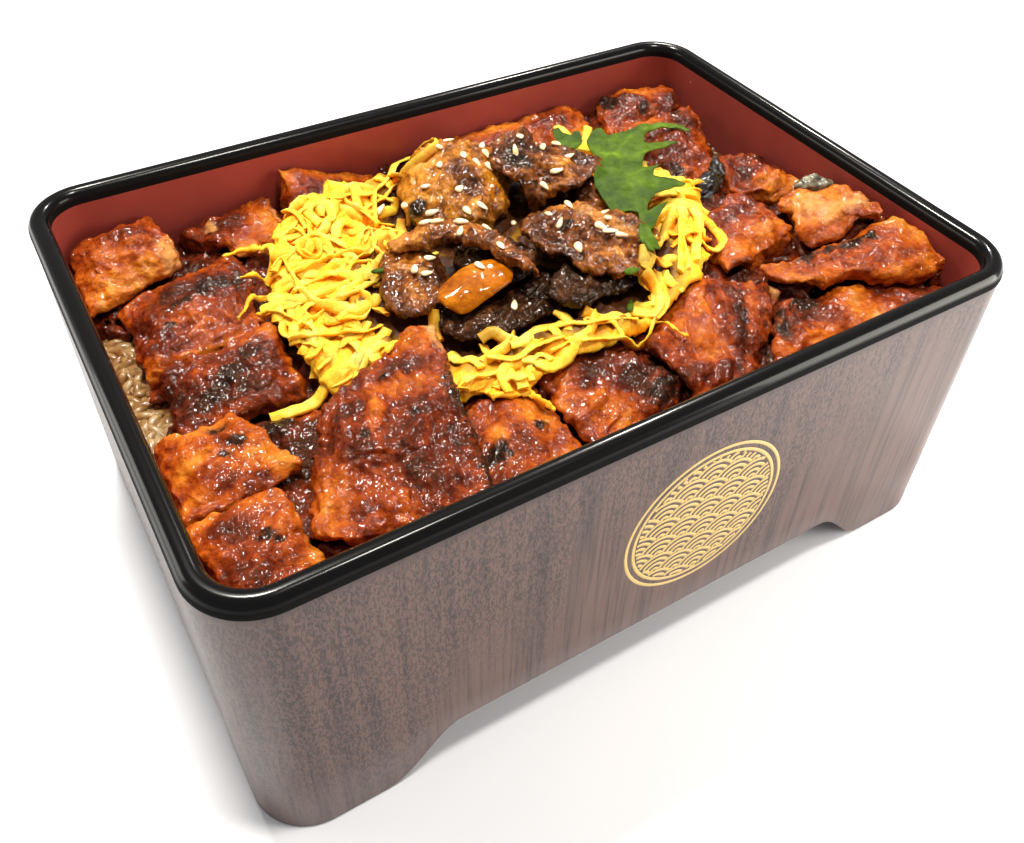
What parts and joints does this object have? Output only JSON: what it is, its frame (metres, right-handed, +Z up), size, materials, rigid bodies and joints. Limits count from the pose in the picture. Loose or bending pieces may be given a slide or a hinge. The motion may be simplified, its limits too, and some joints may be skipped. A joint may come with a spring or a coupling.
{
  "type": "grilled eel on rice",
  "caption": "Grilled eel on rice in an oblong lacquered box on corner feet, topped with shredded egg, simmered meat, sesame seeds and a green leaf.",
  "frame": {"origin": "middle of the box in plan, on the surface that its four feet stand on", "axes": "+Z up, +X along the long side of the box to the right seen from the front, +Y from the front to the back"},
  "size_m": [0.182, 0.129, 0.077],
  "materials": {
    "box_print": "satin taupe-brown print of vertical wood grain on moulded plastic",
    "box_rim": "glossy black lacquer",
    "box_inside": "satin red-brown lacquer",
    "gold_print": "pale gold printed ornament",
    "rice": "cooked rice tinted by sauce, moist",
    "eel_glaze": "grilled eel flesh with a wet sauce glaze and charred spots",
    "charred_skin": "charred black skin",
    "grey_skin": "grey-green eel skin",
    "egg": "soft shreds of thin omelette",
    "meat_brown": "simmered meat, wet with sauce",
    "meat_dark": "dark simmered meat, wet with sauce",
    "meat_amber": "glossy amber simmered piece",
    "sesame": "toasted white sesame",
    "leaf": "fresh green leaf"
  },
  "bodies": {
    "root": {"box": "box_print", "eel_back_centre": "eel_glaze", "eel_back_charred": "eel_glaze", "eel_back_left": "eel_glaze", "eel_back_peaked": "eel_glaze", "eel_back_right": "eel_glaze", "eel_back_right_lower": "eel_glaze", "eel_back_second": "eel_glaze", "eel_front_centre_left": "eel_glaze", "eel_front_curled": "eel_glaze", "eel_front_left_corner": "eel_glaze", "eel_front_left_large": "eel_glaze", "eel_front_left_upper": "eel_glaze", "eel_front_ridged": "eel_glaze", "eel_front_right": "eel_glaze", "eel_left_large": "eel_glaze", "eel_left_lower": "eel_glaze", "eel_right": "eel_glaze", "eel_right_charred": "eel_glaze", "eel_right_diagonal": "eel_glaze", "eel_right_wing": "eel_glaze", "eel_under_front_left": "eel_glaze", "egg": "egg", "leaf": "leaf", "meat_arch": "meat_brown", "meat_back_dark": "meat_dark", "meat_back_long": "meat_brown", "meat_bean": "meat_amber", "meat_bottom": "meat_dark", "meat_front_folds": "meat_brown", "meat_left": "meat_brown", "meat_middle": "meat_dark", "meat_right_back": "meat_brown", "meat_right_crusty": "meat_brown", "meat_right_small": "meat_brown", "rice": "rice", "skin_black": "charred_skin", "skin_grey": "grey_skin"}
  },
  "joints": []
}
